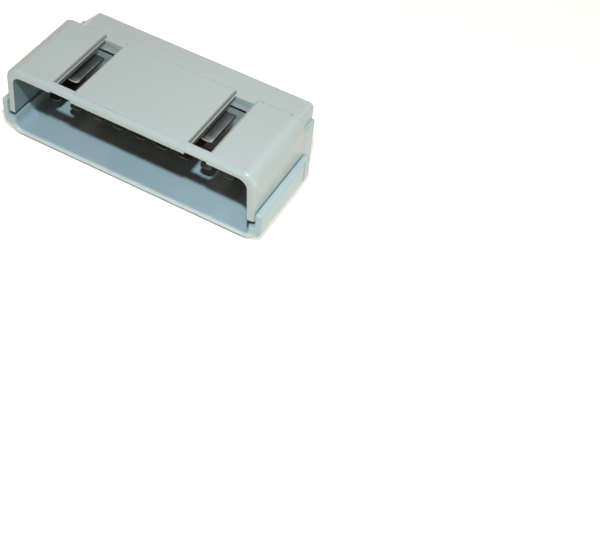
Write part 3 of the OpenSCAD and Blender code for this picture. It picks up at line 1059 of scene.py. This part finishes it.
def blade_stations(length, half_width, half_height, stop_half, look):
    """Half width, half height and edge radius of a blade along its length, from the tip back.

    Near the tip the half width follows a quarter circle, its own less the radius plus the circle's half
    chord, and the half height rises as a smooth step over the bevel. The stop shoulders are a wider
    stretch inside the block.
    """
    tip = look.tip_radius
    early = tip * (1.0 - np.cos(np.linspace(0.0, np.pi / 2, TIP_STEPS)))
    bevel = np.linspace(tip, look.tip_bevel, BEVEL_STEPS)[1:]
    stop_end = length - look.tail_length
    stop_start = stop_end - look.stop_length
    later = np.array([stop_start - HAIR, stop_start, stop_end, stop_end + HAIR, length])
    y = np.concatenate([early, bevel, later])
    into = np.clip(tip - y, 0.0, tip)
    width = half_width - tip + np.sqrt(tip * tip - into * into)
    in_stop = (y > stop_start - HAIR / 2) & (y < stop_end + HAIR / 2)
    width = np.where(in_stop, stop_half, width)
    rise = np.clip(y / look.tip_bevel, 0.0, 1.0)
    smooth = rise * rise * (3.0 - 2.0 * rise)
    height = half_height * (look.tip_share + (1.0 - look.tip_share) * smooth)
    radius = np.minimum(look.edge_radius, EDGE_LIMIT * height)
    return y, width, height, radius


def blade_surface(node, look):
    """Vertices, faces and tip layer of one blade in the place of its CAD node.

    The surface is the eased section carried back along Y through the stations, as a grid of stations by
    points, closed by one face across each end. The tip layer falls evenly from 1 at the tip to 0 at the
    bevel's end.
    """
    low, high = (np.array(corner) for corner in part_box(node))
    middle = (low + high) / 2
    size = high - low
    y, width, height, radius = blade_stations(
        size[1], look.blade_width / 2, size[2] / 2, size[0] / 2, look
    )
    x, z = eased_section(width, height, radius)
    rows, points = x.shape
    back = np.broadcast_to((low[1] + y)[:, None], x.shape)
    grid = np.stack([middle[0] + x, back, middle[2] + z], axis=-1)
    index = np.arange(rows * points).reshape(rows, points)
    here, along = index[:-1], index[1:]
    beside, corner = np.roll(here, -1, axis=1), np.roll(along, -1, axis=1)
    quads = np.stack([here, beside, corner, along], axis=-1).reshape(-1, 4)
    ends = [index[0, ::-1].tolist(), index[-1].tolist()]
    near_tip = np.clip(1.0 - y / look.tip_bevel, 0.0, 1.0)
    return grid.reshape(-1, 3), quads.tolist() + ends, np.repeat(near_tip, points)


def new_piece(name, vertices, faces, material):
    """A smooth-shaded mesh piece at the origin with its place in its mesh."""
    mesh = bpy.data.meshes.new(name)
    mesh.from_pydata(vertices.tolist(), [], faces)
    mesh.polygons.foreach_set("use_smooth", np.ones(len(faces), dtype=bool))
    mesh.set_sharp_from_angle(angle=np.radians(SHARP_ANGLE))
    mesh.materials.append(material)
    mesh.update()
    piece = bpy.data.objects.new(name, mesh)
    bpy.context.scene.collection.objects.link(piece)
    return piece


class CONNECTOR_OT_shell(bpy.types.Operator):
    """Finish the upper cover and the lower base in moulded plastic"""

    bl_idname = "connector.shell"
    bl_label = "Finish Shell"

    def execute(self, context):
        look = context.scene.connector_shell
        cover = moulded_plastic(
            "Cover plastic",
            look.cover_colour,
            look,
            cover_shade_and_marks,
            grain_scale=5200.0,
            edge_radius=look.edge_radius,
        )
        clothe("upper_cover", cover)
        # The tray's paler edges are stronger: partly edge wear, partly a painted highlight
        base = moulded_plastic(
            "Base plastic",
            look.base_colour,
            look,
            tray_highlight_and_shade,
            grain_scale=4700.0,
            edge_radius=look.tray_radius,
            rub_and_highlight=0.60,
        )
        clothe("lower_base", base)
        return {"FINISHED"}


class CONNECTOR_OT_block(bpy.types.Operator):
    """Finish the contact block in moulded plastic with painted shade, brown low down and near black in
    its slot
    """

    bl_idname = "connector.block"
    bl_label = "Finish Contact Block"

    def execute(self, context):
        look = context.scene.connector_shell
        # The block gets twice the corner darkening, partly dirt and partly painted shade
        block = moulded_plastic(
            "Block plastic",
            look.block_shaded_colour,
            look,
            block_painted_shade,
            grain_scale=3900.0,
            edge_radius=look.edge_radius,
            grime_and_shade=2.0,
        )
        clothe("contact_block", block)
        return {"FINISHED"}


class CONNECTOR_OT_blades(bpy.types.Operator):
    """Build the blades of both rows with rounded tips and eased edges"""

    bl_idname = "connector.blades"
    bl_label = "Build Blades"

    def execute(self, context):
        look = context.scene.connector_contacts
        tinned = drawn_metal("Tinned strip", look.tin_colour, look.tip_colour, roughness=0.50, wear=0.55)
        # Painted shade: the lower row is the upper row's tin made darker for the shade it sits in; its
        # paler edges are partly wear, partly painted highlight
        shaded_tin = drawn_metal(
            "Shaded tin strip", look.lower_row_shade_colour, look.tin_colour, roughness=0.55, wear=0.15
        )
        finishes = dict(zip(ROWS, (tinned, shaded_tin)))
        nodes = node_names("blade_")
        if len(nodes) != len(ROWS) * BLADES_IN_ROW:
            raise RuntimeError(f"expected {len(ROWS) * BLADES_IN_ROW} blades, found {len(nodes)}")
        for node in nodes:
            vertices, faces, near_tip = blade_surface(node, look)
            piece = new_piece("eased_" + node, vertices, faces, finishes[node.split("_")[1]])
            layer = piece.data.attributes.new(TIP_LAYER, "FLOAT", "POINT")
            layer.data.foreach_set("value", near_tip)
            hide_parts(node)
            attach(piece, BODY)
        return {"FINISHED"}


class CONNECTOR_OT_bars(bpy.types.Operator):
    """Finish the splice bars behind the block in bare brass"""

    bl_idname = "connector.bars"
    bl_label = "Finish Splice Bars"

    def execute(self, context):
        look = context.scene.connector_contacts
        brass = drawn_metal(
            "Bare brass strip", look.brass_colour, look.brass_colour, roughness=0.38, wear=0.25
        )
        for node in node_names("splice_bar_"):
            clothe(node, brass)
        return {"FINISHED"}


def pale_floor(look):
    """A wide flat floor that reflects light as pale paper does.

    Where it is seen it also glows, so that it shows white with the object's shadow on it.
    """
    corners = np.array([[-1, -1], [1, -1], [1, 1], [-1, 1]], dtype=float) * look.floor_size
    vertices = np.column_stack([corners, np.full(4, -FLOOR_DROP)])
    material = bpy.data.materials.new("Pale paper")
    board = cleared_board(material)
    paper = board.add("ShaderNodeBsdfDiffuse", {"Color": opaque(look.floor_colour)})
    strength = board.product(board.seen(), look.floor_glow)
    glow = board.add("ShaderNodeEmission", {"Color": WHITE, "Strength": strength})
    both = board.add("ShaderNodeAddShader", {0: paper.outputs["BSDF"], 1: glow.outputs["Emission"]})
    board.add("ShaderNodeOutputMaterial", {"Surface": both.outputs["Shader"]})
    floor = new_piece("floor", vertices, [[0, 1, 2, 3]], material)


def even_world(look):
    """Even light from all around, and plain white where the world itself is seen."""
    world = bpy.data.worlds.new("Even light")
    bpy.context.scene.world = world
    board = cleared_board(world)
    seen = board.seen()
    strength = board.math("ADD", look.fill_strength, board.product(seen, 1.0 - look.fill_strength))
    colour = board.mix(seen, opaque(look.fill_colour), WHITE)
    light = board.add("ShaderNodeBackground", {"Color": colour, "Strength": strength})
    board.add("ShaderNodeOutputWorld", {"Surface": light.outputs["Background"]})


def key_lamp(look):
    """One small round lamp in front of the object and to its right."""
    lamp = bpy.data.lights.new("Key lamp", "POINT")
    lamp.energy = look.key_power
    lamp.color = look.key_colour
    lamp.shadow_soft_size = look.key_radius
    holder = bpy.data.objects.new("Key lamp", lamp)
    holder.location = look.key_place
    bpy.context.scene.collection.objects.link(holder)


def square_lamp(name, place, size, power, colour):
    """A square lamp, turned so that its light falls on the origin."""
    lamp = bpy.data.lights.new(name, "AREA")
    lamp.energy = power
    lamp.color = colour
    lamp.size = size
    holder = bpy.data.objects.new(name, lamp)
    holder.location = place
    holder.rotation_euler = Vector(place).to_track_quat("Z", "Y").to_euler()
    bpy.context.scene.collection.objects.link(holder)


def picture_camera(look):
    """The camera, from the place it stands in and two sides of its picture."""
    camera = bpy.data.cameras.new("Picture camera")
    camera.lens = look.camera_lens
    camera.sensor_width = SENSOR_WIDTH
    camera.clip_start, camera.clip_end = CLIP_RANGE
    right = np.array(look.camera_right)
    up = np.array(look.camera_up)
    place = np.eye(4)
    place[:3, :3] = np.column_stack([right, up, np.cross(right, up)])
    place[:3, 3] = look.camera_place
    holder = bpy.data.objects.new("Picture camera", camera)
    holder.matrix_world = Matrix(place.tolist())
    bpy.context.scene.collection.objects.link(holder)
    bpy.context.scene.camera = holder


class CONNECTOR_OT_stage(bpy.types.Operator):
    """Lay the pale floor and set the lamps and the camera"""

    bl_idname = "connector.stage"
    bl_label = "Set Stage"

    def execute(self, context):
        look = context.scene.connector_stage
        picture_camera(look)
        pale_floor(look)
        even_world(look)
        key_lamp(look)
        square_lamp(
            "Overhead lamp",
            look.overhead_place,
            look.overhead_size,
            look.overhead_power,
            look.overhead_colour,
        )
        square_lamp("Side lamp", look.side_place, look.side_size, look.side_power, look.side_colour)
        square_lamp("Front lamp", look.front_place, look.front_size, look.front_power, look.front_colour)
        context.scene.view_settings.view_transform = "Standard"
        return {"FINISHED"}


class CONNECTOR_PT_sidebar(bpy.types.Panel):
    """Sizes, colours and steps of the connector"""

    bl_idname = "CONNECTOR_PT_sidebar"
    bl_label = "Header Splice Connector"
    bl_space_type = "VIEW_3D"
    bl_region_type = "UI"
    bl_category = "Connector"

    def draw(self, context):
        for name, _ in LOOKS:
            look = getattr(context.scene, name)
            box = self.layout.box()
            for key in look.__annotations__:
                box.prop(look, key)
        for step in STEPS:
            self.layout.operator(step.bl_idname)


STEPS = (
    CONNECTOR_OT_shell,
    CONNECTOR_OT_block,
    CONNECTOR_OT_blades,
    CONNECTOR_OT_bars,
    CONNECTOR_OT_stage,
)
LOOKS = (
    ("connector_shell", ShellLook),
    ("connector_contacts", ContactLook),
    ("connector_stage", StageLook),
)


def register():
    """Adds the looks, the steps and the panel."""
    for name, look in LOOKS:
        bpy.utils.register_class(look)
        setattr(bpy.types.Scene, name, bpy.props.PointerProperty(type=look))
    for step in STEPS:
        bpy.utils.register_class(step)
    bpy.utils.register_class(CONNECTOR_PT_sidebar)


def unregister():
    """Takes away the panel, the steps and the looks."""
    bpy.utils.unregister_class(CONNECTOR_PT_sidebar)
    for step in reversed(STEPS):
        bpy.utils.unregister_class(step)
    for name, look in reversed(LOOKS):
        delattr(bpy.types.Scene, name)
        bpy.utils.unregister_class(look)


def main():
    """Builds every piece and the stage."""
    register()
    bpy.ops.connector.shell()
    bpy.ops.connector.block()
    bpy.ops.connector.blades()
    bpy.ops.connector.bars()
    bpy.ops.connector.stage()


if __name__ == "__main__":
    main()
